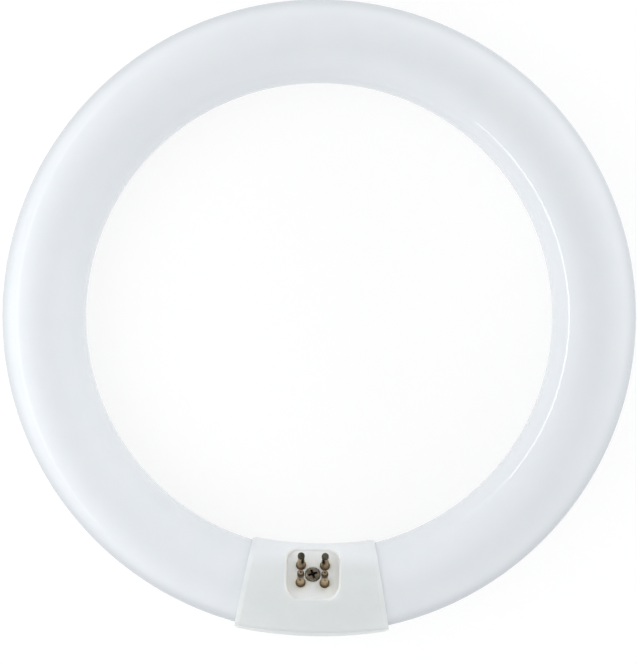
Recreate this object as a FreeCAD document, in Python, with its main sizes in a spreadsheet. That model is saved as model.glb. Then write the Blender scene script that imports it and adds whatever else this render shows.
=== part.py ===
"""Circular fluorescent lamp: a 28 mm glass ring with a two-shell plastic cap and four contact pins.

The ring lies flat. The origin is on the ring's axis, level with the surface that the lamp lies on. +Z is
up, the cap is on the -Y side, and the pins lean from +Z towards the middle of the ring. Sizes are in mm.
"""
import FreeCAD, Part
import math
import os
import re

import Sketcher
from FreeCAD import Placement, Rotation, Vector

SIZES = {
    # glass ring
    "ring_radius": 92.0,  # axis of the ring to the middle of the tube
    "tube_diameter": 28.0,
    "end_clearance": 0.35,  # sealed ends to the walls of the pad's well
    "shoulder_radius": 2.5,  # rounding of the tube's ends
    "rim_width": 1.5,  # shoulder to the mouth of the hollow in each sealed end
    "mouth_rounding": 0.8,
    "stem_diameter": 12.0,  # that hollow where the glass is pressed round the leads
    "stem_depth": 8.0,
    "exhaust_diameter": 3.0,  # sealed-off pumping tube in the middle of each hollow
    "exhaust_length": 5.0,
    "exhaust_rounding": 1.2,
    # cap
    "cap_wall": 1.35,
    "cap_length": 46.5,  # along the cap's own middle line
    "cap_flattening": 33.0,  # how much larger the cap's bend radius is than the ring's
    "end_bevel_length": 1.5,
    "end_bevel_depth": 0.4,
    "seam_bevel": 0.15,
    "glass_clearance": 0.15,
    # contact pad: a square well in the front shell
    "pin_tilt": 30.0,  # lean of the pins from the ring's axis
    "pad_width": 17.2,
    "pad_corner": 4.0,
    "pad_step": 1.0,  # height of the well's two lowest walls, where the cap falls away
    "pad_rounding": 0.75,  # rim of the well
    "pad_wall": 1.2,
    "floor_thickness": 1.5,
    # contact pins
    "pin_spacing": 7.92,
    "row_spacing": 6.35,
    "pin_diameter": 2.35,
    "shank_diameter": 2.0,  # the pin's part in the pad's floor
    "pin_bore": 1.1,
    "pin_height": 8.4,
    "tip_thickness": 0.9,
    "tip_rounding": 1.0,
    "flange_diameter": 3.3,
    "flange_thickness": 0.6,
    "rivet_thickness": 0.5,
    "waist_diameter": 2.0,  # where the pin is crimped on its lead
    "waist_level": 3.6,
    "waist_length": 2.7,
    "waist_slope": 0.2,
    "crimp_width": 0.7,
    "crimp_depth": 0.3,
    "crimp_length": 2.2,
    "crimp_turn_upper": 35.0,  # from the pin's side away from the ring's middle, towards the screw
    "crimp_turn_lower": -10.0,
    "pin_clearance": 0.05,
    # clamp screw
    "head_diameter": 5.1,
    "head_height": 1.3,
    "head_rounding": 0.7,
    "head_sink": 0.8,  # depth of the head's seat below the floor of the pad
    "head_clearance": 0.15,
    "screw_diameter": 2.9,
    "screw_length": 15.5,
    "screw_point": 2.0,
    "screw_clearance": 0.1,
    "recess_width": 0.8,
    "recess_span": 3.2,
    "recess_depth": 0.9,
    "recess_pit": 1.5,  # depth of the pointed pit in the middle of the cross
    "recess_turn": 20.0,
    # inside of the rear shell
    "boss_diameter": 6.8,
    "boss_gap": 0.1,  # top of the boss to the underside of the pad's floor
    "boss_relief": 1.0,  # how much deeper the boss is bored than the screw reaches
    "root_depth": 0.6,  # how far the boss and the ribs reach into the wall
    "rib_thickness": 1.2,
    "rib_setback": 0.4,  # far side of each rib to the outside of the well's wall above it
    "rib_level": 3.0,  # tops of the ribs below the cap's middle line
    # lead wires
    "lead_diameter": 0.5,
    "lead_bend": 2.5,
    "lead_gap": 0.1,  # between a lead's ends and the glass or the pin
}

SHEET = "Sizes"
SIDES = {"left": -1, "right": 1}
ROWS = {"upper": 1, "lower": -1}
SAME_PLACE = 1e-4

# Sizes that follow from the driving ones
TUBE_RADIUS = "(tube_diameter / 2)"
MOUTH_RADIUS = f"({TUBE_RADIUS} - shoulder_radius - rim_width)"
BORE_RADIUS = f"({TUBE_RADIUS} + glass_clearance)"
CAP_RADIUS = f"({BORE_RADIUS} + cap_wall)"
BEND_RADIUS = "(ring_radius + cap_flattening)"
HALF_ANGLE = f"(cap_length / 2 / {BEND_RADIUS} * 180 / pi)"
CAP_END_X = f"({BEND_RADIUS} * sin({HALF_ANGLE}))"
RING_RISE = f"(ring_radius - sqrt(ring_radius ^ 2 - {CAP_END_X} ^ 2))"
CAP_RISE = f"({BEND_RADIUS} * (1 - cos({HALF_ANGLE})))"
CAP_INSET = f"(({RING_RISE} - {CAP_RISE}) / 2)"
CAP_Y = f"({CAP_INSET} - ring_radius)"
WELL_HALF = "(pad_width / 2 + pad_wall)"
GAP_ANGLE = f"(asin(({WELL_HALF} + end_clearance) / (ring_radius - {TUBE_RADIUS})) / 1 deg)"
GAP_X = f"ring_radius * sin({GAP_ANGLE})"
GAP_Y = f"-ring_radius * cos({GAP_ANGLE})"
PAD_LEVEL = f"(sqrt({CAP_RADIUS} ^ 2 - (pad_width / 2) ^ 2) - pad_step)"
FLOOR_UNDERSIDE = f"({PAD_LEVEL} - floor_thickness)"
HEAD_SEAT = f"({PAD_LEVEL} - head_sink)"
BOSS_TOP = f"({FLOOR_UNDERSIDE} - boss_gap)"
TIP_INSIDE = "(pin_height - tip_thickness)"


def linked(text):
    """The expression with each size's name pointing at its cell in the sheet."""
    return re.sub(r"[a-z_]+", lambda word: f"{SHEET}.{word[0]}" if word[0] in SIZES else word[0], text)


def value_of(item, text):
    """The number that an expression gives now."""
    return float(item.evalExpression(linked(text)))


def bind(item, path, text):
    """Ties one property of a document object to the sheet."""
    item.setExpression(path, linked(text))


def make_sheet(doc):
    sheet = doc.addObject("Spreadsheet::Sheet", SHEET)
    for row, (name, value) in enumerate(SIZES.items(), start=1):
        sheet.set(f"A{row}", name)
        sheet.set(f"B{row}", str(value))
        sheet.setAlias(f"B{row}", name)
    doc.recompute()


def origin_plane(body, role):
    return next(item for item in body.Origin.OriginFeatures if item.Role == role)


def add_sketch(body, name, plane, lift="0"):
    """A sketch on one of the body's own origin planes, lifted along the plane's normal."""
    sketch = body.newObject("Sketcher::SketchObject", name)
    sketch.AttachmentSupport = [(origin_plane(body, plane), "")]
    sketch.MapMode = "FlatFace"
    bind(sketch, "AttachmentOffset.Base.z", lift)
    return sketch


def dimension(sketch, kind, places, text):
    """Adds one driving dimension, bound to the sheet."""
    index = sketch.addConstraint(Sketcher.Constraint(kind, *places, value_of(sketch, text)))
    name = f"size{index}"
    sketch.renameConstraint(index, name)
    bind(sketch, f"Constraints.{name}", text)


def fix_point(sketch, line, end, x, y):
    """Fixes a point of the drawing by its two distances from the sketch's origin."""
    for kind, text, axis in (("DistanceX", x, -2), ("DistanceY", y, -1)):
        if text == "0":
            sketch.addConstraint(Sketcher.Constraint("PointOnObject", line, end, axis))
        else:
            dimension(sketch, kind, (-1, 1, line, end), text)


def point_of(sketch, x, y):
    return Vector(value_of(sketch, x), value_of(sketch, y), 0)


def draw_circle(sketch, x, y, radius):
    circle = Part.Circle(point_of(sketch, x, y), Vector(0, 0, 1), value_of(sketch, radius))
    index = sketch.addGeometry(circle, False)
    fix_point(sketch, index, 3, x, y)
    dimension(sketch, "Radius", (index,), radius)


def draw_arc(sketch, x, y, radius, start, end):
    """An arc whose centre and radius are fixed; what joins it settles its ends. Angles are in radians."""
    circle = Part.Circle(point_of(sketch, x, y), Vector(0, 0, 1), value_of(sketch, radius))
    index = sketch.addGeometry(Part.ArcOfCircle(circle, start, end), False)
    fix_point(sketch, index, 3, x, y)
    dimension(sketch, "Radius", (index,), radius)
    return index


def draw_line(sketch, start, end, construction=False):
    return sketch.addGeometry(Part.LineSegment(start, end), construction)


def draw_outline(sketch, points):
    """A closed outline of straight lines through points given as pairs of expressions."""
    spots = [point_of(sketch, *point) for point in points]
    lines = [draw_line(sketch, spot, spots[(place + 1) % len(spots)]) for place, spot in enumerate(spots)]
    for place, point in enumerate(points):
        sketch.addConstraint(Sketcher.Constraint("Coincident", lines[place - 1], 2, lines[place], 1))
        fix_point(sketch, lines[place], 1, *point)


def draw_rectangle(sketch, left, right, bottom, top):
    draw_outline(sketch, [(left, bottom), (right, bottom), (right, top), (left, top)])


def draw_square(sketch, half, corner):
    """A square with rounded corners about the sketch's origin."""
    inner = f"({half} - {corner})"
    corners = [("", ""), ("-", ""), ("-", "-"), ("", "-")]
    quarter = math.pi / 2
    arcs = [
        draw_arc(sketch, f"{x}{inner}", f"{y}{inner}", corner, quarter * place, quarter * (place + 1))
        for place, (x, y) in enumerate(corners)
    ]
    for place, arc in enumerate(arcs):
        following = arcs[(place + 1) % len(arcs)]
        line = draw_line(sketch, sketch.getPoint(arc, 2), sketch.getPoint(following, 1))
        sketch.addConstraint(Sketcher.Constraint("Tangent", arc, 2, line, 1))
        sketch.addConstraint(Sketcher.Constraint("Tangent", line, 2, following, 1))


def draw_axis(sketch, distance):
    """An axis parallel to the ring's, at a distance from the sketch's origin towards the ring's middle.

    It is drawn in a plane square to the cap, whose upright direction is the direction of the pins.
    """
    near = (f"{distance} * cos(pin_tilt)", f"{distance} * sin(pin_tilt)")
    far = (f"{near[0]} - cap_length * sin(pin_tilt)", f"{near[1]} + cap_length * cos(pin_tilt)")
    line = draw_line(sketch, point_of(sketch, *near), point_of(sketch, *far), True)
    fix_point(sketch, line, 1, *near)
    fix_point(sketch, line, 2, *far)


def turn(body, kind, name, sketch, axis, angle="360"):
    """Adds or cuts a turned form, the same angle to both sides of its sketch."""
    feature = body.newObject(f"PartDesign::{kind}", name)
    feature.Profile = sketch
    feature.ReferenceAxis = (sketch, [axis])
    feature.Midplane = True
    bind(feature, "Angle", angle)
    return feature


def push(body, kind, name, sketch, length, backwards=False):
    """Adds a pad along the sketch's normal or cuts a pocket against it, or the other way round."""
    feature = body.newObject(f"PartDesign::{kind}", name)
    feature.Profile = sketch
    feature.Reversed = backwards
    bind(feature, "Length", length)
    return feature


def mirror(body, name, features):
    """Repeats features on the other side of the body's YZ plane."""
    feature = body.newObject("PartDesign::Mirrored", name)
    feature.Originals = features
    feature.MirrorPlane = (origin_plane(body, "YZ_Plane"), [""])
    body.Tip = feature
    return feature


def edges_where(feature, test):
    """Names of a feature's edges that pass a test."""
    feature.Document.recompute()
    return [f"Edge{number}" for number, edge in enumerate(feature.Shape.Edges, start=1) if test(edge)]


def is_circle(edge, radius):
    curve = edge.Curve
    return isinstance(curve, Part.Circle) and abs(curve.Radius - radius) < SAME_PLACE


def round_circles(body, name, base, circle_radius, rounding, reach=None):
    """Rounds the circular edges of a given radius, or those of them centred within reach of the YZ plane."""
    limit = value_of(base, reach) if reach else float("inf")
    wanted = value_of(base, circle_radius)
    names = edges_where(base, lambda edge: is_circle(edge, wanted) and abs(edge.Curve.Center.x) < limit)
    feature = body.newObject("PartDesign::Fillet", name)
    feature.Base = (base, names)
    bind(feature, "Radius", rounding)
    return feature


def seat(item, across="0", up="0", out="0"):
    """Places an object in the cap, with its Z axis along the pins.

    across runs along the cap, up is square to the pins and towards the ring's middle, and out runs along
    the pins, all from the middle of the cap.
    """
    item.Placement = Placement(Vector(), Rotation(Vector(-1, 0, 0), value_of(item, "pin_tilt")))
    bind(item, "Placement.Rotation.Angle", "pin_tilt")
    bind(item, "Placement.Base.x", across)
    bind(item, "Placement.Base.y", f"{CAP_Y} + ({up}) * cos(pin_tilt) + ({out}) * sin(pin_tilt)")
    bind(item, "Placement.Base.z", f"{CAP_RADIUS} - ({up}) * sin(pin_tilt) + ({out}) * cos(pin_tilt)")


def add_stem(body):
    """The hollow in a sealed end, with the pumping tube in its middle. Both are drawn on the end's axis."""
    features = []
    outlines = {
        "Groove": [
            ("0", "0"),
            ("0", MOUTH_RADIUS),
            ("stem_depth", "stem_diameter / 2"),
            ("stem_depth", "0"),
        ],
        "Revolution": [
            ("stem_depth", "0"),
            ("stem_depth", "exhaust_diameter / 2"),
            ("stem_depth - exhaust_length", "exhaust_diameter / 2"),
            ("stem_depth - exhaust_length", "0"),
        ],
    }
    for kind, points in outlines.items():
        sketch = add_sketch(body, f"stem_{kind.lower()}_outline", "XY_Plane")
        bind(sketch, "AttachmentOffset.Base.x", GAP_X)
        bind(sketch, "AttachmentOffset.Base.y", GAP_Y)
        bind(sketch, "AttachmentOffset.Rotation.Angle", GAP_ANGLE)
        draw_outline(sketch, points)
        features.append(turn(body, kind, f"stem_{kind.lower()}", sketch, "H_Axis"))
    return features


def make_glass(doc):
    """The tube bent to a ring, with both ends sealed inside the cap."""
    body = doc.addObject("PartDesign::Body", "glass_tube")
    sketch = add_sketch(body, "tube_section", "YZ_Plane")
    draw_circle(sketch, "ring_radius", "0", TUBE_RADIUS)
    turn(body, "Revolution", "tube", sketch, "V_Axis", f"360 - 2 * {GAP_ANGLE}")
    ends = mirror(body, "both_ends", add_stem(body))
    shoulders = round_circles(body, "shoulders", ends, TUBE_RADIUS, "shoulder_radius")
    mouths = round_circles(body, "mouths", shoulders, MOUTH_RADIUS, "mouth_rounding")
    half_way = f"{GAP_X} + (stem_depth - exhaust_length / 2) * cos({GAP_ANGLE})"
    round_circles(body, "exhaust_tips", mouths, "exhaust_diameter / 2", "exhaust_rounding", half_way)
    bind(body, "Placement.Base.z", CAP_RADIUS)
    return body


def add_shell_form(body, front):
    """Half of the bent round cap, solid, with bevelled ends and a fine bevel along the seam."""
    section = add_sketch(body, "cap_section", "YZ_Plane")
    draw_circle(section, "0", "0", CAP_RADIUS)
    draw_axis(section, BEND_RADIUS)
    form = turn(body, "Revolution", "cap_form", section, "Axis0", f"2 * {HALF_ANGLE}")
    bevel = body.newObject("PartDesign::Chamfer", "end_bevels")
    bevel.Base = (form, edges_where(form, lambda edge: is_circle(edge, value_of(form, CAP_RADIUS))))
    bevel.ChamferType = "Two distances"
    bind(bevel, "Size", "end_bevel_length")
    bind(bevel, "Size2", "end_bevel_depth")
    split = add_sketch(body, "seam_plane", "XY_Plane")
    draw_rectangle(split, "-cap_length", "cap_length", "-cap_length", "cap_length")
    cut = push(body, "Pocket", "other_half", split, "cap_length", backwards=not front)
    reach = value_of(cut, "cap_length / 4")
    seam = edges_where(cut, lambda edge: is_on_seam(edge, reach))
    fine = body.newObject("PartDesign::Chamfer", "seam_bevel")
    fine.Base = (cut, seam)
    bind(fine, "Size", "seam_bevel")
    return fine


def is_on_seam(edge, reach):
    """Whether an edge is one of the two long ones in the seam plane."""
    box = edge.BoundBox
    return box.ZLength < SAME_PLACE and abs(box.ZMin) < SAME_PLACE and box.XMin < -reach and box.XMax > reach


def add_bore(body, kind):
    """The room for the glass tube, which follows the bend of the ring."""
    section = add_sketch(body, "bore_section", "YZ_Plane")
    draw_circle(section, f"-{CAP_INSET} * cos(pin_tilt)", f"-{CAP_INSET} * sin(pin_tilt)", BORE_RADIUS)
    draw_axis(section, f"-{CAP_Y}")
    return turn(body, kind, "bore", section, "Axis0", f"6 * {HALF_ANGLE}")


def is_rim(edge, floor, wall):
    """Whether an edge is one of those where the well's walls meet the round outside of the cap."""
    box = edge.BoundBox
    inside = max(-box.XMin, box.XMax, -box.YMin, box.YMax) < wall
    return inside and box.ZMin > floor + SAME_PLACE and max(box.XLength, box.YLength) > SAME_PLACE


def make_front_shell(doc):
    """The shell with the square pad well, four pin holes and the seat of the screw."""
    body = doc.addObject("PartDesign::Body", "front_form")
    add_shell_form(body, front=True)
    outline = add_sketch(body, "well_outline", "XY_Plane", PAD_LEVEL)
    draw_square(outline, "pad_width / 2", "pad_corner")
    well = push(body, "Pocket", "well", outline, CAP_RADIUS, backwards=True)
    floor, wall = value_of(well, PAD_LEVEL), value_of(well, "pad_width / 2") + SAME_PLACE
    rim = body.newObject("PartDesign::Fillet", "well_rim")
    rim.Base = (well, edges_where(well, lambda edge: is_rim(edge, floor, wall)))
    bind(rim, "Radius", "pad_rounding")
    holes = add_sketch(body, "pin_hole_circles", "XY_Plane", PAD_LEVEL)
    for side in SIDES.values():
        for row in ROWS.values():
            radius = "shank_diameter / 2 + pin_clearance"
            draw_circle(holes, f"{side} * pin_spacing / 2", f"{row} * row_spacing / 2", radius)
    push(body, "Pocket", "pin_holes", holes, "floor_thickness * 2")
    seat_circle = add_sketch(body, "head_seat_circle", "XY_Plane", PAD_LEVEL)
    draw_circle(seat_circle, "0", "0", "head_diameter / 2 + head_clearance")
    push(body, "Pocket", "head_seat", seat_circle, "head_sink")
    screw_circle = add_sketch(body, "screw_hole_circle", "XY_Plane", PAD_LEVEL)
    draw_circle(screw_circle, "0", "0", "screw_diameter / 2 + screw_clearance")
    push(body, "Pocket", "screw_hole", screw_circle, "floor_thickness * 2")

    room = doc.addObject("PartDesign::Body", "front_room")
    add_bore(room, "Revolution")
    walls = add_sketch(room, "well_walls", "XY_Plane", FLOOR_UNDERSIDE)
    draw_square(walls, WELL_HALF, "pad_corner")
    push(room, "Pocket", "room_for_well", walls, CAP_RADIUS, backwards=True)

    shell = doc.addObject("Part::Cut", "cap_front_shell")
    shell.Base = body
    shell.Tool = room
    seat(shell)
    return shell


def add_boss(body):
    """The post that takes the clamp screw."""
    root = f"({CAP_RADIUS} - root_depth)"
    circle = add_sketch(body, "boss_circle", "XY_Plane", f"-{root}")
    draw_circle(circle, "0", "0", "boss_diameter / 2")
    push(body, "Pad", "boss", circle, f"{root} + {BOSS_TOP}")
    hole = add_sketch(body, "boss_hole_circle", "XY_Plane", BOSS_TOP)
    draw_circle(hole, "0", "0", "screw_diameter / 2 + pin_clearance")
    push(body, "Pocket", "boss_hole", hole, f"{BOSS_TOP} - {HEAD_SEAT} + screw_length + boss_relief")


def add_ribs(body):
    """Two ribs between the glass ends, each filling the shell up to a straight top."""
    sketch = add_sketch(body, "rib_section", "YZ_Plane", f"{WELL_HALF} - rib_setback - rib_thickness")
    radius = f"({CAP_RADIUS} - root_depth)"
    dip = math.asin(value_of(sketch, f"rib_level / {radius}"))
    arc = draw_arc(sketch, "0", "0", radius, math.pi + dip, math.tau - dip)
    top = draw_line(sketch, sketch.getPoint(arc, 2), sketch.getPoint(arc, 1))
    sketch.addConstraint(Sketcher.Constraint("Coincident", arc, 2, top, 1))
    sketch.addConstraint(Sketcher.Constraint("Coincident", top, 2, arc, 1))
    sketch.addConstraint(Sketcher.Constraint("Horizontal", top))
    dimension(sketch, "DistanceY", (-1, 1, top, 1), "-rib_level")
    mirror(body, "both_ribs", [push(body, "Pad", "rib", sketch, "rib_thickness")])


def make_rear_shell(doc):
    """The plain shell, which carries the screw's boss and the ribs."""
    body = doc.addObject("PartDesign::Body", "cap_rear_shell")
    add_shell_form(body, front=False)
    add_bore(body, "Groove")
    add_ribs(body)
    add_boss(body)
    seat(body)
    return body


def is_at(edge, level, item):
    """Whether an edge lies in a plane across Z at a level given as an expression."""
    box = edge.BoundBox
    wanted = value_of(item, level)
    return max(abs(box.ZMin - wanted), abs(box.ZMax - wanted)) < SAME_PLACE


def add_crimp(body, side, row):
    """The flat that is pressed into the middle of a pin's waist."""
    row_name = next(name for name, sign in ROWS.items() if sign == row)
    turn_angle = f"(-90 - {side} * crimp_turn_{row_name})"
    level = "(waist_diameter / 2 - crimp_depth)"
    low = "waist_level + (waist_length - crimp_length) / 2"
    sketch = add_sketch(body, "crimp_outline", "YZ_Plane")
    sketch.AttachmentOffset = Placement(Vector(), Rotation(Vector(0, 1, 0), value_of(sketch, turn_angle)))
    bind(sketch, "AttachmentOffset.Rotation.Angle", turn_angle)
    bind(sketch, "AttachmentOffset.Base.x", f"{level} * sin({turn_angle})")
    bind(sketch, "AttachmentOffset.Base.z", f"{level} * cos({turn_angle})")
    draw_rectangle(sketch, "-crimp_width / 2", "crimp_width / 2", low, f"{low} + crimp_length")
    push(body, "Pocket", "crimp", sketch, "pin_diameter", backwards=True)


def make_pin(doc, name, side, row):
    """A hollow contact pin, riveted through the pad's floor, with a waist where it is crimped on its lead."""
    body = doc.addObject("PartDesign::Body", name)
    half = add_sketch(body, "pin_half_section", "XZ_Plane")
    rivet_end = "-floor_thickness - rivet_thickness"
    draw_outline(half, [
        ("pin_bore / 2", rivet_end),
        ("flange_diameter / 2", rivet_end),
        ("flange_diameter / 2", "-floor_thickness"),
        ("shank_diameter / 2", "-floor_thickness"),
        ("shank_diameter / 2", "0"),
        ("flange_diameter / 2", "0"),
        ("flange_diameter / 2", "flange_thickness"),
        ("pin_diameter / 2", "flange_thickness"),
        ("pin_diameter / 2", "waist_level"),
        ("waist_diameter / 2", "waist_level + waist_slope"),
        ("waist_diameter / 2", "waist_level + waist_length - waist_slope"),
        ("pin_diameter / 2", "waist_level + waist_length"),
        ("pin_diameter / 2", "pin_height"),
        ("0", "pin_height"),
        ("0", TIP_INSIDE),
        ("pin_bore / 2", TIP_INSIDE),
    ])
    barrel = turn(body, "Revolution", "barrel", half, "V_Axis")
    tip = body.newObject("PartDesign::Fillet", "tip")
    tip.Base = (barrel, edges_where(barrel, lambda edge: is_at(edge, "pin_height", barrel)))
    bind(tip, "Radius", "tip_rounding")
    add_crimp(body, side, row)
    seat(body, f"{side} * pin_spacing / 2", f"{row} * row_spacing / 2", PAD_LEVEL)
    return body


def make_screw(doc):
    """The pan-head screw that clamps the two shells together."""
    body = doc.addObject("PartDesign::Body", "clamp_screw")
    half = add_sketch(body, "screw_half_section", "XZ_Plane")
    draw_outline(half, [
        ("0", "-screw_length"),
        ("screw_diameter / 2", "-screw_length + screw_point"),
        ("screw_diameter / 2", "0"),
        ("head_diameter / 2", "0"),
        ("head_diameter / 2", "head_height"),
        ("0", "head_height"),
    ])
    blank = turn(body, "Revolution", "blank", half, "V_Axis")
    dome = body.newObject("PartDesign::Fillet", "head_dome")
    dome.Base = (blank, edges_where(blank, lambda edge: is_at(edge, "head_height", blank)))
    bind(dome, "Radius", "head_rounding")
    cross = add_sketch(body, "cross_outline", "XY_Plane", "head_height")
    cross.AttachmentOffset = Placement(cross.AttachmentOffset.Base, Rotation(Vector(0, 0, 1), 1))
    bind(cross, "AttachmentOffset.Rotation.Angle", "recess_turn")
    arm, width = "recess_span / 2", "recess_width / 2"
    draw_outline(cross, [
        (arm, f"-{width}"),
        (arm, width),
        (width, width),
        (width, arm),
        (f"-{width}", arm),
        (f"-{width}", width),
        (f"-{arm}", width),
        (f"-{arm}", f"-{width}"),
        (f"-{width}", f"-{width}"),
        (f"-{width}", f"-{arm}"),
        (width, f"-{arm}"),
        (width, f"-{width}"),
    ])
    push(body, "Pocket", "cross_recess", cross, "recess_depth")
    pit = add_sketch(body, "pit_half_section", "XZ_Plane")
    draw_outline(pit, [
        ("0", "head_height - recess_pit"),
        ("recess_width", "head_height"),
        ("0", "head_height"),
    ])
    turn(body, "Groove", "pit", pit, "V_Axis")
    seat(body, out=HEAD_SEAT)
    return body


def make_lead(doc, name, side, row):
    """A wire from the pressed glass, along the cap and up inside a pin to its closed tip."""
    body = doc.addObject("PartDesign::Body", name)
    lateral = f"({CAP_Y} + {row} * row_spacing / 2 * cos(pin_tilt) - {GAP_Y})"
    press = f"({GAP_X} + (stem_depth - lead_gap - {lateral} * sin({GAP_ANGLE})) / cos({GAP_ANGLE}))"
    reach = f"({press} - pin_spacing / 2)"
    top = f"({PAD_LEVEL} + {TIP_INSIDE} - lead_gap)"

    route = add_sketch(body, "route", "XZ_Plane")
    start = math.pi if side > 0 else math.pi * 3 / 2
    bend = draw_arc(route, f"{side} * lead_bend", "lead_bend", "lead_bend", start, start + math.pi / 2)
    low, high = (2, 1) if side > 0 else (1, 2)
    run = draw_line(route, point_of(route, f"{side} * {reach}", "0"), route.getPoint(bend, low))
    rise = draw_line(route, route.getPoint(bend, high), point_of(route, "0", top))
    route.addConstraint(Sketcher.Constraint("Tangent", run, 2, bend, low))
    route.addConstraint(Sketcher.Constraint("Tangent", bend, high, rise, 1))
    fix_point(route, run, 1, f"{side} * {reach}", "0")
    fix_point(route, rise, 2, "0", top)

    section = add_sketch(body, "wire_section", "YZ_Plane", f"{side} * {reach}")
    draw_circle(section, "0", "0", "lead_diameter / 2")
    wire = body.newObject("PartDesign::AdditivePipe", "wire")
    wire.Profile = section
    wire.Spine = route
    seat(body, f"{side} * pin_spacing / 2", f"{row} * row_spacing / 2")
    return body


def make_parts(doc):
    """All the lamp's pieces, each with its file's name as its label."""
    parts = [make_glass(doc), make_front_shell(doc), make_rear_shell(doc), make_screw(doc)]
    for row_name, row in ROWS.items():
        for side_name, side in SIDES.items():
            parts.append(make_pin(doc, f"contact_pin_{row_name}_{side_name}", side, row))
            parts.append(make_lead(doc, f"lead_wire_{row_name}_{side_name}", side, row))
    return parts


def check(doc, parts):
    """Stops the build if any object has failed or any piece is not one sound solid."""
    for item in doc.Objects:
        if {"Invalid", "Error"} & set(item.State):
            raise RuntimeError(f"{item.Name} failed: {item.State}")
    for part in parts:
        if part.Shape.isNull() or not part.Shape.isValid() or len(part.Shape.Solids) != 1:
            raise RuntimeError(f"{part.Label} is not one valid solid")


def main():
    doc = FreeCAD.newDocument("circular_lamp")
    make_sheet(doc)
    parts = make_parts(doc)
    doc.recompute()
    check(doc, parts)
    os.makedirs("parts", exist_ok=True)
    for part in parts:
        part.Shape.exportStep(f"parts/{part.Label}.step")
        print(f"{part.Label}: {part.Shape.Volume:.1f} mm3")


main()
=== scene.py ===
import logging
import math
from dataclasses import dataclass
from enum import Enum

import bmesh
import bpy
from mathutils import Matrix, Vector


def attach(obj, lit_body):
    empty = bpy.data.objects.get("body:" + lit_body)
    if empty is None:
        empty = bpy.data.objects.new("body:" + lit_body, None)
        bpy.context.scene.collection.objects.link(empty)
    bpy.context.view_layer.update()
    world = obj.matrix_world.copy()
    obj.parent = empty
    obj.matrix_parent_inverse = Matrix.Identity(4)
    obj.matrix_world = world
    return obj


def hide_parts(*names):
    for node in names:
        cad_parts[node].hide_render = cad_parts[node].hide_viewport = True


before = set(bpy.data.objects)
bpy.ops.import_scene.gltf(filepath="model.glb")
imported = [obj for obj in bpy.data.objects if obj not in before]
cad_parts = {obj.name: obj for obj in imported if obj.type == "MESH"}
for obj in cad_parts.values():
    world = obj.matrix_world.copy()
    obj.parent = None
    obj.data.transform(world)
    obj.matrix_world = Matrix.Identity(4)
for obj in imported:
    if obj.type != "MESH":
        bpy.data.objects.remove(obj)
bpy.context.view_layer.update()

MM = 0.001
BODY = "root"
log = logging.getLogger("circular_lamp")

Socket = bpy.types.NodeSocket
Value = float | int | tuple[float, ...] | Socket
Span = tuple[float, float]
Place = tuple[float, float, float]
Colour = tuple[float, float, float, float]


class Slot(Enum):
    """The record's material slots."""

    GLASS = "coated_glass"
    PLASTIC = "cap_plastic"
    STEEL = "screw_steel"
    BRASS = "pin_brass"
    LEAD = "lead_metal"


class Side(Enum):
    """The two sides of the cap, by the sign of X."""

    LEFT = -1
    RIGHT = 1


class Row(Enum):
    """The two rows of pins: the upper one is nearer to the middle of the ring."""

    UPPER = 1
    LOWER = -1


@dataclass(frozen=True)
class PadPlace:
    """The contact pad's place and sizes, as part.py makes them.

    The floor of the pad lies at level along the pins' lean, tilt, from the point cap_y, cap_z in the middle of the
    cap. The pins stand pin_across and pin_up from the middle of the floor, and the well is a square of twice
    well_half with corners of well_corner.
    """

    level: float = 11.895 * MM
    cap_y: float = -91.602 * MM
    cap_z: float = 15.5 * MM
    tilt: float = math.radians(30)
    pin_across: float = 3.96 * MM
    pin_up: float = 3.175 * MM
    well_half: float = 8.6 * MM
    well_corner: float = 4.0 * MM

    @property
    def out(self) -> Vector:
        """The direction in which the pins point."""
        return Vector((0, math.sin(self.tilt), math.cos(self.tilt)))

    @property
    def up(self) -> Vector:
        """The direction from the lower row of pins to the upper one."""
        return Vector((0, math.cos(self.tilt), -math.sin(self.tilt)))

    @property
    def centre(self) -> Vector:
        """The middle of the pad's floor."""
        return Vector((0, self.cap_y, self.cap_z)) + self.level * self.out


PAD = PadPlace()


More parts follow.
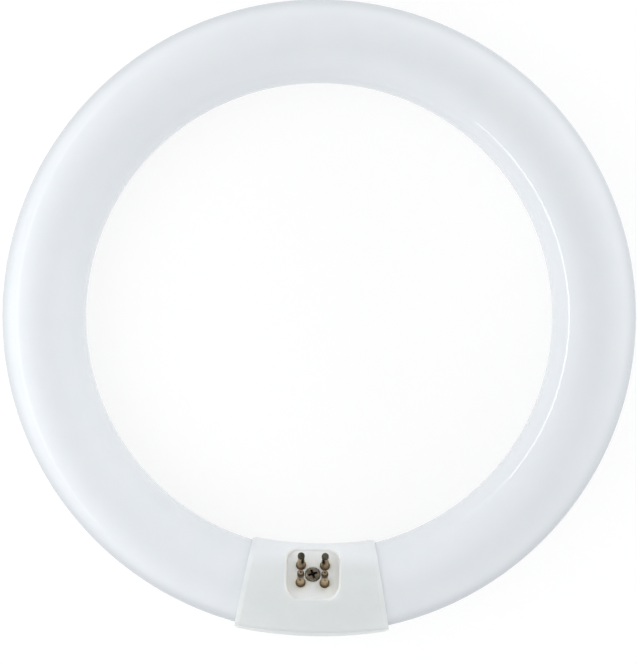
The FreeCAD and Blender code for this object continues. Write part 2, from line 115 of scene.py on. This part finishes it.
class Bench:
    """Adds nodes to one node tree and joins them."""

    MIX_FACTOR, MIX_FIRST, MIX_SECOND, MIX_RESULT = 0, 6, 7, 2

    def __init__(self, tree: bpy.types.NodeTree) -> None:
        """Starts with an empty tree.

        Args:
            tree: the node tree to fill.
        """
        self.tree = tree
        tree.nodes.clear()

    def feed(self, socket: Socket, value: Value) -> None:
        """Links an input to a node's output, or sets it.

        Args:
            socket: the input.
            value: the output to link to it, or the value to set.
        """
        if isinstance(value, Socket):
            self.tree.links.new(value, socket)
        else:
            socket.default_value = value

    def add(self, kind: str, values: dict[str | int, Value] | None = None, **settings: object) -> bpy.types.Node:
        """Adds one node.

        Args:
            kind: the node's type name.
            values: the node's inputs, linked or set.
            settings: the node's own properties.

        Returns:
            The new node.
        """
        node = self.tree.nodes.new(kind)
        for name, setting in settings.items():
            setattr(node, name, setting)
        for name, value in (values or {}).items():
            self.feed(node.inputs[name], value)
        return node

    def math(self, operation: str, first: Value, second: Value = 0.0) -> Socket:
        """Adds a Math node.

        Args:
            operation: what it works out.
            first: its first value.
            second: its second value.

        Returns:
            The result.
        """
        return self.add("ShaderNodeMath", {0: first, 1: second}, operation=operation).outputs[0]

    def times(self, first: Value, second: Value) -> Socket:
        """Multiplies two values or masks.

        Args:
            first: one value.
            second: the other.

        Returns:
            The product.
        """
        return self.math("MULTIPLY", first, second)

    def hypotenuse(self, first: Socket, second: Socket) -> Socket:
        """Works out the distance that two legs at right angles give.

        Args:
            first: one leg.
            second: the other.

        Returns:
            The distance.
        """
        return self.math("SQRT", self.math("ADD", self.times(first, first), self.times(second, second)))

    def vector(self, operation: str, values: dict[str | int, Value], output: str = "Vector") -> Socket:
        """Adds a Vector Math node.

        Args:
            operation: what it works out.
            values: its inputs, linked or set.
            output: the output that holds the result.

        Returns:
            The result.
        """
        return self.add("ShaderNodeVectorMath", values, operation=operation).outputs[output]

    def fade(self, value: Socket, low: float, high: float) -> Socket:
        """Adds a soft step.

        Args:
            value: what the step depends on.
            low: where the step is 0. It may lie above high.
            high: where the step is 1.

        Returns:
            The step, from 0 to 1.
        """
        ends = {"Value": value, "From Min": low, "From Max": high}
        return self.add("ShaderNodeMapRange", ends, interpolation_type="SMOOTHSTEP").outputs[0]

    def spread(self, value: Socket, low: float, high: float) -> Socket:
        """Maps 0 to 1 onto another range.

        Args:
            value: what is mapped.
            low: the result for 0.
            high: the result for 1.

        Returns:
            The mapped value.
        """
        return self.add("ShaderNodeMapRange", {"Value": value, "To Min": low, "To Max": high}).outputs[0]

    def blend(self, mask: Value, first: Value, second: Value) -> Socket:
        """Mixes two colours.

        Args:
            mask: 0 for the first colour, 1 for the second one.
            first: a colour.
            second: a colour.

        Returns:
            The mixed colour.
        """
        values = {self.MIX_FACTOR: mask, self.MIX_FIRST: first, self.MIX_SECOND: second}
        return self.add("ShaderNodeMix", values, data_type="RGBA").outputs[self.MIX_RESULT]

    def bump(self, height: Socket, distance: float, strength: float = 1.0) -> Socket:
        """Adds a bump.

        Args:
            height: the height, from 0 to 1.
            distance: the depth in metres.
            strength: how much of it counts.

        Returns:
            The normal.
        """
        values = {"Height": height, "Distance": distance, "Strength": strength}
        return self.add("ShaderNodeBump", values).outputs[0]

    def spot(self) -> Socket:
        """Finds the place on the object.

        Returns:
            The place, which is also the place in the frame, in metres.
        """
        return self.add("ShaderNodeTexCoord").outputs["Object"]


def make_group(name: str, inputs: tuple[str, ...], outputs: tuple[str, ...],
               ) -> tuple[Bench, bpy.types.Node, bpy.types.Node]:
    """Starts a shader node group whose sockets are all plain values.

    Args:
        name: the group's name.
        inputs: the name of each input.
        outputs: the name of each output.

    Returns:
        A bench on the group's tree, its input node and its output node.
    """
    tree = bpy.data.node_groups.new(name, "ShaderNodeTree")
    for in_out, socket_names in (("INPUT", inputs), ("OUTPUT", outputs)):
        for socket_name in socket_names:
            tree.interface.new_socket(name=socket_name, in_out=in_out, socket_type="NodeSocketFloat")
    bench = Bench(tree)
    return bench, bench.add("NodeGroupInput"), bench.add("NodeGroupOutput")


def make_grain_group() -> bpy.types.NodeTree:
    """Makes a fine surface grain: a value about one half, and a second, coarser one for slow changes.

    Returns:
        The group.
    """
    scale_shares = {"Fine": 1.0, "Slow": 0.06}
    look = {"Detail": 4.0, "Roughness": 0.55}
    bench, given, result = make_group("surface_grain", ("Fineness",), tuple(scale_shares))
    place = bench.spot()
    for output, share in scale_shares.items():
        scale = bench.times(given.outputs["Fineness"], share)
        noise = bench.add("ShaderNodeTexNoise", {"Vector": place, "Scale": scale, **look})
        bench.feed(result.inputs[output], noise.outputs[0])
    return bench.tree


def make_pad_group() -> bpy.types.NodeTree:
    """Measures a place against the pad, in millimetres.

    Its outputs are the height over the pad's floor along the pins, the distances from the nearest pin's axis and
    from the screw's axis, the distance outwards from the well's walls, which is negative inside the well, the
    place from the lower to the upper row, and the two places beside the nearest pin's axis, outwards.

    Returns:
        The group.
    """
    names = ("Height", "From Pin", "From Screw", "From Well", "Up", "Pin Across", "Pin Up")
    bench, _, result = make_group("pad_measures", (), names)
    offset = bench.vector("SUBTRACT", {0: bench.spot(), 1: tuple(PAD.centre)})
    scaled = bench.vector("SCALE", {0: offset, "Scale": 1 / MM})
    across, up, height = (bench.vector("DOT_PRODUCT", {0: scaled, 1: tuple(axis)}, "Value")
                          for axis in ((1, 0, 0), PAD.up, PAD.out))
    aside = [bench.math("ABSOLUTE", length) for length in (across, up)]
    from_pin = [bench.math("SUBTRACT", length, place / MM)
                for length, place in zip(aside, (PAD.pin_across, PAD.pin_up))]
    straight = (PAD.well_half - PAD.well_corner) / MM
    past = [bench.math("MAXIMUM", bench.math("SUBTRACT", length, straight), 0.0) for length in aside]
    from_well = bench.math("SUBTRACT", bench.hypotenuse(*past), PAD.well_corner / MM)
    measures = (height, bench.hypotenuse(*from_pin), bench.hypotenuse(*aside), from_well, up, *from_pin)
    for name, measure in zip(names, measures):
        bench.feed(result.inputs[name], measure)
    return bench.tree


@dataclass(frozen=True)
class Groups:
    """The node groups that several finishes share, each built once."""

    grain: bpy.types.NodeTree
    pad: bpy.types.NodeTree

    @classmethod
    def make(cls) -> "Groups":
        """Builds the groups.

        Returns:
            All of them.
        """
        return cls(grain=make_grain_group(), pad=make_pad_group())


class Finish:
    """One finish: a material with a Principled shader, a bench on its nodes and the shared groups at hand."""

    def __init__(self, name: str, groups: Groups) -> None:
        """Starts the material.

        Args:
            name: the material's name.
            groups: the shared node groups.
        """
        self.material = bpy.data.materials.new(name)
        self.material.use_nodes = True
        self.groups = groups
        self.bench = Bench(self.material.node_tree)
        self.shader = self.bench.add("ShaderNodeBsdfPrincipled")
        self.bench.add("ShaderNodeOutputMaterial", {"Surface": self.shader.outputs[0]})

    def group(self, tree: bpy.types.NodeTree, values: dict[str, Value] | None = None) -> dict[str, Socket]:
        """Adds a shared group.

        Args:
            tree: the group.
            values: its inputs.

        Returns:
            Its outputs by name.
        """
        node = self.bench.add("ShaderNodeGroup", values, node_tree=tree)
        return {socket.name: socket for socket in node.outputs}

    def grain(self, fineness: float) -> tuple[Socket, Socket]:
        """Adds the shared grain.

        Args:
            fineness: how many grains go into a metre, roughly.

        Returns:
            Its fine and its slow value.
        """
        outputs = self.group(self.groups.grain, {"Fineness": fineness})
        return outputs["Fine"], outputs["Slow"]

    def set(self, values: dict[str, Value]) -> None:
        """Sets or links inputs of the Principled shader.

        Args:
            values: the inputs by name.
        """
        for name, value in values.items():
            self.bench.feed(self.shader.inputs[name], value)


class CoatedGlass(Finish):
    """Clear glossy glass over a matt white powder coat on its inside, with painted shade where its outer rim is seen
    edge on.
    """

    GRAIN = 1400.0
    CLOUD: Span = (0.35, 0.65)
    POWDER: tuple[Colour, Colour] = ((0.80, 0.83, 0.86, 1), (0.815, 0.842, 0.868, 1))
    SPECKS: Span = (0.70, 0.80)
    SPECK_SHARE = 0.25
    SPECK: Colour = (0.70, 0.74, 0.77, 1)
    EDGE_ON: Span = (0.25, 0.8)
    RIM_RADII: Span = (97 * MM, 104 * MM)
    # Painted shade: a darker colour where the outer rim of the tube is seen edge on.
    RIM_SHADE: Colour = (0.60, 0.63, 0.66, 1)
    COAT_WEIGHTS: Span = (0.8, 0.4)
    WAVES: Span = (0.03 * MM, 0.08)

    def __init__(self, groups: Groups) -> None:
        """Builds the material.

        Args:
            groups: the shared node groups.
        """
        super().__init__("coated_glass", groups)
        bench = self.bench
        fine, slow = self.grain(self.GRAIN)
        powder = bench.blend(bench.fade(slow, *self.CLOUD), *self.POWDER)
        specks = bench.times(bench.fade(fine, *self.SPECKS), self.SPECK_SHARE)
        coat = bench.blend(specks, powder, self.SPECK)
        facing = bench.add("ShaderNodeLayerWeight", {"Blend": 0.5}).outputs["Facing"]
        radius = bench.vector("LENGTH", {0: bench.vector("MULTIPLY", {0: bench.spot(), 1: (1, 1, 0)})}, "Value")
        rim_shade = bench.times(bench.fade(facing, *self.EDGE_ON), bench.fade(radius, *self.RIM_RADII))
        self.set({
            "Base Color": bench.blend(rim_shade, coat, self.RIM_SHADE),
            "Roughness": 0.55,
            "IOR": 1.4,
            "Specular IOR Level": 0.2,
            "Coat Weight": bench.spread(rim_shade, *self.COAT_WEIGHTS),
            "Coat Roughness": 0.018,
            "Coat IOR": 1.48,
            "Coat Normal": bench.bump(slow, *self.WAVES),
        })


class CapPlastic(Finish):
    """White moulded plastic with a satin gloss.

    It has painted light towards the ring's middle, and paler painted light with a slight yellow tint in the pad's
    well and along its rim, where it lifts the shade; it is a little yellowed by heat round the pins.
    """

    GRAIN = 2600.0
    PATCHES: Span = (0.3, 0.7)
    AGED: tuple[Colour, Colour] = ((0.775, 0.805, 0.79, 1), (0.80, 0.825, 0.815, 1))
    # Painted light: a paler colour towards the ring's middle.
    PAINTED_LIGHT: Colour = (0.915, 0.94, 0.95, 1)
    PAINTED_LIGHT_UP: Span = (-1.0, 7.0)
    # Painted light with a slight yellow tint: it lifts the shade in the pad's well and along its rim.
    WELL_LIGHT: Colour = (0.965, 0.975, 0.95, 1)
    WELL_WALL: Span = (0.9, 0.3)
    WELL_HEIGHTS: Span = (-2.0, -1.0)
    HEAT: Colour = (0.88, 0.86, 0.72, 1)
    HEAT_SHARE = 0.8
    HEAT_RADII: Span = (5.2, 1.3)
    HEAT_OVER: Span = (-3.0, -2.0)
    HEAT_UNDER: Span = (2.5, 0.5)
    HEAT_PATCHES: Span = (0.25, 0.6)
    ROUGHNESS: Span = (0.30, 0.40)
    PITS: Span = (0.01 * MM, 0.35)

    def __init__(self, groups: Groups) -> None:
        """Builds the material.

        Args:
            groups: the shared node groups.
        """
        super().__init__("cap_plastic", groups)
        bench = self.bench
        fine, slow = self.grain(self.GRAIN)
        pad = self.group(groups.pad)
        aged = bench.blend(bench.fade(slow, *self.PATCHES), *self.AGED)
        lit_body = bench.blend(bench.fade(pad["Up"], *self.PAINTED_LIGHT_UP), aged, self.PAINTED_LIGHT)
        in_well = bench.times(bench.fade(pad["From Well"], *self.WELL_WALL),
                              bench.fade(pad["Height"], *self.WELL_HEIGHTS))
        well = bench.blend(in_well, lit_body, self.WELL_LIGHT)
        near_floor = bench.times(bench.fade(pad["Height"], *self.HEAT_UNDER),
                                 bench.fade(pad["Height"], *self.HEAT_OVER))
        heat = bench.times(bench.fade(pad["From Pin"], *self.HEAT_RADII), near_floor)
        patchy = bench.times(heat, bench.fade(slow, *self.HEAT_PATCHES))
        self.set({
            "Base Color": bench.blend(bench.times(patchy, self.HEAT_SHARE), well, self.HEAT),
            "Roughness": bench.spread(slow, *self.ROUGHNESS),
            "IOR": 1.5,
            "Subsurface Weight": 0.5,
            "Subsurface Radius": (3.0 * MM, 2.8 * MM, 2.4 * MM),
            "Subsurface Scale": 1.0,
            "Normal": bench.bump(fine, *self.PITS),
        })


class ContactBrass(Finish):
    """Tarnished plated brass: copper-brown flanges with painted shade round their rims, brown-grey barrels, dark
    tinned tips and painted shade in the upper pins' crimps.
    """

    GRAIN = 5200.0
    STAINS: Span = (0.35, 0.62)
    UPPER_ROW: Span = (-0.5, 0.5)
    BARREL: tuple[Colour, Colour] = ((0.27, 0.195, 0.12, 1), (0.47, 0.37, 0.24, 1))
    BARREL_FROM: Span = (0.6, 1.1)
    FLANGE: tuple[Colour, Colour] = ((0.15, 0.098, 0.055, 1), (0.29, 0.205, 0.125, 1))
    # Painted shade: a darker colour round the rim of each flange.
    FLANGE_RIM_SHADE: Colour = (0.085, 0.058, 0.034, 1)
    FLANGE_RADII: Span = (1.25, 1.6)
    NECK: Colour = (0.055, 0.034, 0.022, 1)
    NECK_FROM: Span = (5.9, 6.3)
    TIP_FROM: Span = (6.7, 7.1)
    UPPER_TIP: tuple[Colour, Colour] = ((0.034, 0.030, 0.021, 1), (0.088, 0.079, 0.060, 1))
    LOWER_TIP: tuple[Colour, Colour] = ((0.055, 0.040, 0.027, 1), (0.24, 0.18, 0.12, 1))
    LOWER_TIP_RING: tuple[Span, Span] = ((0.25, 0.45), (0.95, 0.7))
    # Painted shade: near black in the crimp of the upper pins.
    CRIMP_SHADE: Colour = (0.012, 0.010, 0.008, 1)
    CRIMP_TURN = math.radians(35)
    CRIMP_ALONG: Span = (0.1, 0.3)
    CRIMP_ASIDE: Span = (0.62, 0.48)
    CRIMP_HEIGHTS: tuple[Span, Span] = ((3.4, 3.8), (7.0, 6.7))
    ROUGHNESS: Span = (0.32, 0.62)
    PITS: Span = (0.02 * MM, 0.5)

    def __init__(self, groups: Groups) -> None:
        """Builds the material.

        Args:
            groups: the shared node groups.
        """
        super().__init__("pin_brass", groups)
        bench = self.bench
        fine, slow = self.grain(self.GRAIN)
        pad = self.group(groups.pad)
        stain = bench.fade(slow, *self.STAINS)
        upper = bench.fade(pad["Up"], *self.UPPER_ROW)
        flange = bench.blend(stain, *self.FLANGE)
        flange = bench.blend(bench.fade(pad["From Pin"], *self.FLANGE_RADII), flange, self.FLANGE_RIM_SHADE)
        neck = bench.times(bench.fade(pad["Height"], *self.NECK_FROM), bench.math("SUBTRACT", 1.0, upper))
        barrel = bench.blend(neck, bench.blend(stain, *self.BARREL), self.NECK)
        ring = bench.times(*(bench.fade(pad["From Pin"], *span) for span in self.LOWER_TIP_RING))
        tip = bench.blend(upper, bench.blend(ring, *self.LOWER_TIP), bench.blend(stain, *self.UPPER_TIP))
        low = bench.blend(bench.fade(pad["Height"], *self.BARREL_FROM), flange, barrel)
        colour = bench.blend(bench.fade(pad["Height"], *self.TIP_FROM), low, tip)
        self.set({
            "Base Color": bench.blend(self.crimp_shade_mask(pad), colour, self.CRIMP_SHADE),
            "Metallic": 0.85,
            "Roughness": bench.spread(fine, *self.ROUGHNESS),
            "Normal": bench.bump(fine, *self.PITS),
        })

    def crimp_shade_mask(self, pad: dict[str, Socket]) -> Socket:
        """Masks the painted shade in the crimp of the upper pins, which faces the screw.

        Args:
            pad: the outputs of the pad's measures.

        Returns:
            1 in the crimp and 0 elsewhere.
        """
        bench = self.bench
        sine, cosine = math.sin(self.CRIMP_TURN), math.cos(self.CRIMP_TURN)
        across, up = pad["Pin Across"], pad["Pin Up"]
        along = bench.math("ADD", bench.times(across, -sine), bench.times(up, -cosine))
        aside = bench.math("ADD", bench.times(across, cosine), bench.times(up, -sine))
        aside = bench.math("ABSOLUTE", aside)
        mask = bench.times(bench.fade(along, *self.CRIMP_ALONG), bench.fade(aside, *self.CRIMP_ASIDE))
        for span in self.CRIMP_HEIGHTS:
            mask = bench.times(mask, bench.fade(pad["Height"], *span))
        return bench.times(mask, bench.fade(pad["Up"], *self.UPPER_ROW))


class ScrewSteel(Finish):
    """Darkened steel, with a painted highlight along the rim of the screw's head and painted shade in its cross
    recess.
    """

    GRAIN = 4200.0
    STAINS: Span = (0.35, 0.65)
    DARK: tuple[Colour, Colour] = ((0.05, 0.042, 0.026, 1), (0.16, 0.14, 0.10, 1))
    # Painted highlight: a paler colour along the rim of the screw's head, broken up by grain.
    RIM_HIGHLIGHT: Colour = (0.36, 0.32, 0.24, 1)
    RIM_HIGHLIGHT_RADII: Span = (1.4, 2.3)
    RIM_HIGHLIGHT_GRAIN: Span = (0.45, 0.62)
    # Painted shade: near black in the cross recess.
    CROSS_SHADE: Colour = (0.01, 0.008, 0.006, 1)
    CROSS_HEIGHTS: Span = (0.4, 0.1)
    CROSS_RADII: Span = (1.9, 1.7)
    ROUGHNESS: Span = (0.28, 0.5)
    PITS: Span = (0.02 * MM, 0.4)

    def __init__(self, groups: Groups) -> None:
        """Builds the material.

        Args:
            groups: the shared node groups.
        """
        super().__init__("screw_steel", groups)
        bench = self.bench
        fine, slow = self.grain(self.GRAIN)
        pad = self.group(groups.pad)
        dark = bench.blend(bench.fade(slow, *self.STAINS), *self.DARK)
        rim_highlight = bench.times(bench.fade(pad["From Screw"], *self.RIM_HIGHLIGHT_RADII), bench.fade(fine, *self.RIM_HIGHLIGHT_GRAIN))
        cross_shade = bench.times(bench.fade(pad["Height"], *self.CROSS_HEIGHTS),
                            bench.fade(pad["From Screw"], *self.CROSS_RADII))
        self.set({
            "Base Color": bench.blend(cross_shade, bench.blend(rim_highlight, dark, self.RIM_HIGHLIGHT), self.CROSS_SHADE),
            "Metallic": 0.85,
            "Roughness": bench.spread(fine, *self.ROUGHNESS),
            "Normal": bench.bump(fine, *self.PITS),
        })


class LeadWireMetal(Finish):
    """Dull plated wire."""

    GRAIN = 3000.0
    STAINS: Span = (0.3, 0.7)
    PLATING: tuple[Colour, Colour] = ((0.42, 0.37, 0.31, 1), (0.58, 0.54, 0.48, 1))
    ROUGHNESS: Span = (0.3, 0.5)

    def __init__(self, groups: Groups) -> None:
        """Builds the material.

        Args:
            groups: the shared node groups.
        """
        super().__init__("lead_metal", groups)
        bench = self.bench
        fine, slow = self.grain(self.GRAIN)
        self.set({
            "Base Color": bench.blend(bench.fade(slow, *self.STAINS), *self.PLATING),
            "Metallic": 0.9,
            "Roughness": bench.spread(fine, *self.ROUGHNESS),
        })


def name_corners(stem: str) -> list[str]:
    """Names the four nodes that stand at the corners of the pad.

    Args:
        stem: how their names begin.

    Returns:
        The names.
    """
    return [f"{stem}_{row.name}_{side.name}".lower() for row in Row for side in Side]


@dataclass
class SubAssembly:
    """What every sub-assembly shares: it dresses CAD nodes and adds pieces that ride on the lamp's one body."""

    finish: Finish
    slot: Slot

    def dress(self, nodes: list[str]) -> None:
        """Gives carried-over CAD nodes the finish.

        Args:
            nodes: the nodes' names.
        """
        for name in nodes:
            materials = bpy.data.objects[name].data.materials
            materials.clear()
            materials.append(self.finish.material)
            log.info("dressed %s", name)

    def add_piece(self, name: str, bm: bmesh.types.BMesh, nodes: list[str]) -> bpy.types.Object:
        """Turns a bmesh into a smooth piece that stands for CAD nodes.

        Args:
            name: the piece's name.
            bm: its mesh, in the frame. It is freed.
            nodes: the nodes that it replaces.

        Returns:
            The new object.
        """
        bmesh.ops.recalc_face_normals(bm, faces=bm.faces)
        mesh = bpy.data.meshes.new(name)
        bm.to_mesh(mesh)
        bm.free()
        mesh.shade_smooth()
        mesh.set_sharp_from_angle(angle=math.radians(35))
        piece = bpy.data.objects.new(name, mesh)
        bpy.context.scene.collection.objects.link(piece)
        piece.data.materials.append(self.finish.material)
        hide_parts(*nodes)
        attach(piece, BODY)
        log.info("built %s with %d faces", name, len(mesh.polygons))
        return piece


@dataclass
class GlassRing(SubAssembly):
    """The bent glass tube, closed by a pressed end on each side of the cap's middle.

    The radius is a trace under the CAD tube's, so that the facets stay inside its box. Each row of pressing is one
    step of the pressed end, inwards from the shoulder: how far it goes in, and how far out along the tube.
    """

    ring_radius: float = 92.0 * MM
    tube_radius: float = 13.998 * MM
    middle_height: float = 15.5 * MM
    gap: float = math.radians(7.4766)
    shoulder: float = 2.5 * MM
    sides: int = 72
    steps: int = 288
    shoulder_steps: int = 4
    pressing: tuple[Span, ...] = (
        (1.5 * MM, 0),
        (0.5 * MM, -0.7 * MM),
        (3.5 * MM, -7.3 * MM),
        (4.2 * MM, 0),
        (0.3 * MM, 0.3 * MM),
        (0, 3.6 * MM),
        (0.5 * MM, 0.8 * MM),
    )

    def build(self) -> None:
        """Spins the tube round the ring and presses its ends."""
        bm = bmesh.new()
        lean = self.gap + self.shoulder / self.ring_radius
        turn = Matrix.Rotation(lean, 4, "Z")
        stand = Matrix.Translation((0, -self.ring_radius, self.middle_height)) @ Matrix.Rotation(math.pi / 2, 4, "Y")
        bmesh.ops.create_circle(bm, segments=self.sides, radius=self.tube_radius, matrix=turn @ stand)
        first = bm.edges[:]
        spun = bmesh.ops.spin(bm, geom=first, cent=(0, 0, 0), axis=(0, 0, 1), angle=math.tau - 2 * lean,
                              steps=self.steps)
        last = [item for item in spun["geom_last"] if isinstance(item, bmesh.types.BMEdge)]
        ends = [bmesh.ops.contextual_create(bm, geom=edges)["faces"][0] for edges in (first, last)]
        bmesh.ops.recalc_face_normals(bm, faces=bm.faces)
        for face in ends:
            self.press_end(bm, face)
        self.add_piece("glass_ring", bm, ["glass_tube"])

    def press_end(self, bm: bmesh.types.BMesh, face: bmesh.types.BMFace) -> None:
        """Shapes one end: a round shoulder, a flat rim, the hollow of the pressed glass and the pumping tube.

        Args:
            bm: the tube's mesh.
            face: the flat end face, whose normal points out of the tube.
        """
        bends = [math.pi / 2 * step / self.shoulder_steps for step in range(self.shoulder_steps + 1)]
        inwards = [self.shoulder * (1 - math.cos(bend)) for bend in bends]
        outwards = [self.shoulder * math.sin(bend) for bend in bends]
        steps = [(b - a, d - c) for a, b, c, d in zip(inwards, inwards[1:], outwards, outwards[1:])]
        for thickness, depth in (*steps, *self.pressing):
            bmesh.ops.inset_individual(bm, faces=[face], thickness=thickness, depth=depth, use_even_offset=True)


@dataclass
class Cap(SubAssembly):
    """The two shells of the cap, whose CAD solids have their final shape."""

    def build(self) -> None:
        """Dresses both shells."""
        self.dress(["cap_front_shell", "cap_rear_shell"])


@dataclass
class Contacts(SubAssembly):
    """The four contact pins."""

    def build(self) -> None:
        """Dresses the pins."""
        self.dress(name_corners("contact_pin"))


@dataclass
class ClampScrew(SubAssembly):
    """The cross-recess screw between the pins."""

    def build(self) -> None:
        """Dresses the screw."""
        self.dress(["clamp_screw"])


@dataclass
class LeadWires(SubAssembly):
    """The wires inside the cap, from the pressed glass to the pins."""

    def build(self) -> None:
        """Dresses the wires."""
        self.dress(name_corners("lead_wire"))


@dataclass(frozen=True)
class SoftLight:
    """One soft area lamp of the studio, in watts, that faces its aim and that the camera doesn't see.

    A mirrored lamp shows only in reflections, and any other lamp everywhere but there.
    """

    name: str
    place: Place
    size: Span
    watts: float
    mirrored: bool = False
    aim: Place = (0, 0, 0.015)

    def build(self) -> None:
        """Hangs the lamp."""
        lamp = bpy.data.lights.new(self.name, "AREA")
        lamp.shape = "RECTANGLE"
        lamp.size, lamp.size_y = self.size
        lamp.energy = self.watts
        holder = bpy.data.objects.new(self.name, lamp)
        holder.location = self.place
        holder.rotation_euler = (Vector(self.aim) - Vector(self.place)).to_track_quat("-Z", "Y").to_euler()
        holder.visible_camera = False
        holder.visible_glossy = self.mirrored
        holder.visible_diffuse = not self.mirrored
        bpy.context.scene.collection.objects.link(holder)


@dataclass
class Studio:
    """The pale floor, the soft light and the camera that looks straight down.

    The floor shows shadow_share of its shadow near the lamp, and less of it over the distances in shadow_ends.
    """

    floor_reach: float = 4.0
    floor_glow: float = 1.10
    floor_paper: Colour = (0.9, 0.9, 0.9, 1)
    shadow_share: float = 0.30
    shadow_ends: Span = (0.6, 0.3)
    sky_level: float = 0.55
    sky_colour: Colour = (0.97, 0.985, 1, 1)
    camera_place: Place = (-0.000098, -0.005463, 1.0155)
    camera_turn: float = math.radians(1.43)
    camera_lens: float = 161.7
    camera_sensor: float = 36.0
    lights: tuple[SoftLight, ...] = (
        SoftLight("left_strip", (-0.9, 0.05, 0.23), (2.1, 0.12), 1.2, mirrored=True),
        SoftLight("near_strip", (-0.05, -0.011, 0.056), (0.106, 0.0095), 0.017, mirrored=True,
                  aim=(0.1, -0.011, 0.036)),
        SoftLight("left_softbox", (-0.891, 0.0, 0.14), (0.9, 0.22), 2.8),
        SoftLight("right_softbox", (0.891, 0.0, 0.24), (0.9, 0.22), 1.75),
        SoftLight("far_softbox", (0.4, 0.8, 0.14), (0.9, 0.22), 2.6),
        SoftLight("near_softbox", (0.3, -0.58, 0.474), (0.9, 0.4), 1.05),
        SoftLight("top_softbox", (-0.34, -0.02, 0.40), (0.9, 0.4), 1.0),
    )

    def build(self) -> None:
        """Builds the whole studio."""
        self.lay_floor()
        self.light_sky()
        for light in self.lights:
            light.build()
        self.place_camera()

    def seen_directly(self, bench: Bench) -> Socket:
        """Tells the rays that show a surface from those that light with it.

        Args:
            bench: the bench of the material or world.

        Returns:
            1 for rays that come from the camera, a reflection or through glass, and 0 for the others.
        """
        path = bench.add("ShaderNodeLightPath").outputs
        mirrored = bench.math("MAXIMUM", path["Is Glossy Ray"], path["Is Transmission Ray"])
        return bench.math("MAXIMUM", path["Is Camera Ray"], mirrored)

    def lay_floor(self) -> None:
        """Lays a white floor that keeps a light shadow."""
        bm = bmesh.new()
        bmesh.ops.create_grid(bm, x_segments=1, y_segments=1, size=self.floor_reach)
        mesh = bpy.data.meshes.new("studio_floor")
        bm.to_mesh(mesh)
        bm.free()
        floor = bpy.data.objects.new("studio_floor", mesh)
        bpy.context.scene.collection.objects.link(floor)
        material = bpy.data.materials.new("floor_paper")
        material.use_nodes = True
        bench = Bench(material.node_tree)
        paper = bench.add("ShaderNodeBsdfDiffuse", {"Color": self.floor_paper}).outputs[0]
        glow = bench.add("ShaderNodeEmission", {"Color": (1, 1, 1, 1), "Strength": self.floor_glow}).outputs[0]
        distance = bench.vector("LENGTH", {0: bench.spot()}, "Value")
        shadow = bench.times(bench.fade(distance, *self.shadow_ends), self.shadow_share)
        share = bench.times(self.seen_directly(bench), bench.math("SUBTRACT", 1.0, shadow))
        mixed = bench.add("ShaderNodeMixShader", {0: share, 1: paper, 2: glow})
        bench.add("ShaderNodeOutputMaterial", {"Surface": mixed.outputs[0]})
        floor.data.materials.append(material)

    def light_sky(self) -> None:
        """Lights the object from all round, and shows white where the world is seen."""
        world = bpy.data.worlds.new("studio_world")
        world.use_nodes = True
        bench = Bench(world.node_tree)
        light = bench.add("ShaderNodeBackground", {"Color": self.sky_colour, "Strength": self.sky_level}).outputs[0]
        white = bench.add("ShaderNodeBackground", {"Color": (1, 1, 1, 1), "Strength": 1.0}).outputs[0]
        mixed = bench.add("ShaderNodeMixShader", {0: self.seen_directly(bench), 1: light, 2: white})
        bench.add("ShaderNodeOutputWorld", {"Surface": mixed.outputs[0]})
        bpy.context.scene.world = world

    def place_camera(self) -> None:
        """Hangs the camera over the ring, as the photograph sees it."""
        lens = bpy.data.cameras.new("photo_camera")
        lens.lens = self.camera_lens
        lens.sensor_width = self.camera_sensor
        lens.clip_start = 0.05
        camera = bpy.data.objects.new("photo_camera", lens)
        camera.location = self.camera_place
        camera.rotation_euler = (0, 0, self.camera_turn)
        bpy.context.scene.collection.objects.link(camera)
        bpy.context.scene.camera = camera


def main() -> None:
    """Builds and dresses the lamp piece by piece, then the studio round it."""
    logging.basicConfig(level=logging.INFO, format="%(name)s: %(message)s")
    bpy.context.scene.view_settings.view_transform = "Standard"
    groups = Groups.make()
    GlassRing(CoatedGlass(groups), Slot.GLASS).build()
    Cap(CapPlastic(groups), Slot.PLASTIC).build()
    Contacts(ContactBrass(groups), Slot.BRASS).build()
    ClampScrew(ScrewSteel(groups), Slot.STEEL).build()
    LeadWires(LeadWireMetal(groups), Slot.LEAD).build()
    Studio().build()


if __name__ == "__main__":
    main()
